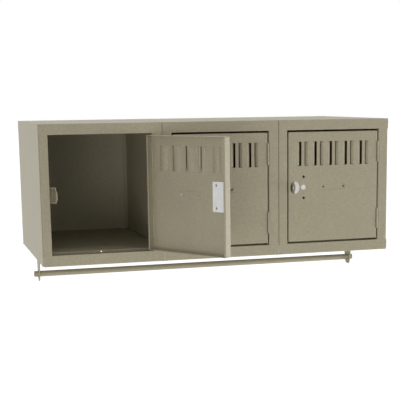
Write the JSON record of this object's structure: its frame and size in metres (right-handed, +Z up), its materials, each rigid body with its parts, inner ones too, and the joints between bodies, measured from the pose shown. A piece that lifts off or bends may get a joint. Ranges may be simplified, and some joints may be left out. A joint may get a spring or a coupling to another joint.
{
  "type": "box locker row",
  "caption": "Wall-hung row of box lockers in tan enamelled sheet steel: louvred hinged doors with padlock staples and lock holes, and a coat rod in brackets under the row.",
  "frame": {"origin": "centre of the middle back sheet's rear face, on the wall", "axes": "+X across the row to the viewer's right, +Y into the wall, +Z up; the doors face -Y"},
  "size_m": [0.9144, 0.6747, 0.4161],
  "materials": {
    "tan_enamel": "tan baked enamel, semi-gloss, outside sheets, frames, doors, hinges and rod",
    "inside_enamel": "tan baked enamel, semi-gloss, partitions and floors",
    "zinc_plate": "bright zinc plate, lock covers and rivets",
    "pin_steel": "plain drawn steel, hinge pins"
  },
  "bodies": {
    "locker_row": {"side_left": "tan_enamel", "side_right": "tan_enamel", "partition_left": "inside_enamel", "partition_right": "inside_enamel", "top_1": "tan_enamel", "floor_1": "inside_enamel", "back_1": "tan_enamel", "top_2": "tan_enamel", "floor_2": "inside_enamel", "back_2": "tan_enamel", "top_3": "tan_enamel", "floor_3": "inside_enamel", "back_3": "tan_enamel", "rail_top_1": "tan_enamel", "rail_bottom_1": "tan_enamel", "jamb_left_1": "tan_enamel", "jamb_right_1": "tan_enamel", "strike_1": "tan_enamel", "hinge_frame_leaf_lower_1": "tan_enamel", "hinge_pin_lower_1": "pin_steel", "hinge_frame_leaf_upper_1": "tan_enamel", "hinge_pin_upper_1": "pin_steel", "rail_top_2": "tan_enamel", "rail_bottom_2": "tan_enamel", "jamb_left_2": "tan_enamel", "jamb_right_2": "tan_enamel", "strike_2": "tan_enamel", "hinge_frame_leaf_lower_2": "tan_enamel", "hinge_pin_lower_2": "pin_steel", "hinge_frame_leaf_upper_2": "tan_enamel", "hinge_pin_upper_2": "pin_steel", "rail_top_3": "tan_enamel", "rail_bottom_3": "tan_enamel", "jamb_left_3": "tan_enamel", "jamb_right_3": "tan_enamel", "strike_3": "tan_enamel", "hinge_frame_leaf_lower_3": "tan_enamel", "hinge_pin_lower_3": "pin_steel", "hinge_frame_leaf_upper_3": "tan_enamel", "hinge_pin_upper_3": "pin_steel", "rod_bracket_left": "tan_enamel", "rod_bracket_right": "tan_enamel", "rivet_left_front": "zinc_plate", "rivet_left_rear": "zinc_plate", "rivet_right_front": "zinc_plate", "rivet_right_rear": "zinc_plate"},
    "door_1_set": {"door_1": "tan_enamel", "lock_cover_1": "zinc_plate", "hinge_door_leaf_lower_1": "tan_enamel", "hinge_door_leaf_upper_1": "tan_enamel"},
    "door_2_set": {"door_2": "tan_enamel", "lock_cover_2": "zinc_plate", "hinge_door_leaf_lower_2": "tan_enamel", "hinge_door_leaf_upper_2": "tan_enamel"},
    "door_3_set": {"door_3": "tan_enamel", "lock_cover_3": "zinc_plate", "hinge_door_leaf_lower_3": "tan_enamel", "hinge_door_leaf_upper_3": "tan_enamel"},
    "rod": {"coat_rod": "tan_enamel"}
  },
  "joints": [
    {"name": "door_1_swing", "type": "hinge", "parent": "locker_row", "child": "door_1_set", "pos_m": [-0.18075, -0.4572, 0], "axis": [0, 0, 1], "range_deg": [-124.4, 38.6]},
    {"name": "door_2_swing", "type": "hinge", "parent": "locker_row", "child": "door_2_set", "pos_m": [0.12405, -0.4572, 0], "axis": [0, 0, 1], "range_deg": [0, 163]},
    {"name": "door_3_swing", "type": "hinge", "parent": "locker_row", "child": "door_3_set", "pos_m": [0.42885, -0.4572, 0], "axis": [0, 0, 1], "range_deg": [0, 163]},
    {"name": "rod_turn", "type": "hinge", "parent": "locker_row", "child": "rod", "pos_m": [0, -0.2286, -0.22435], "axis": [1, 0, 0], "continuous": true}
  ]
}
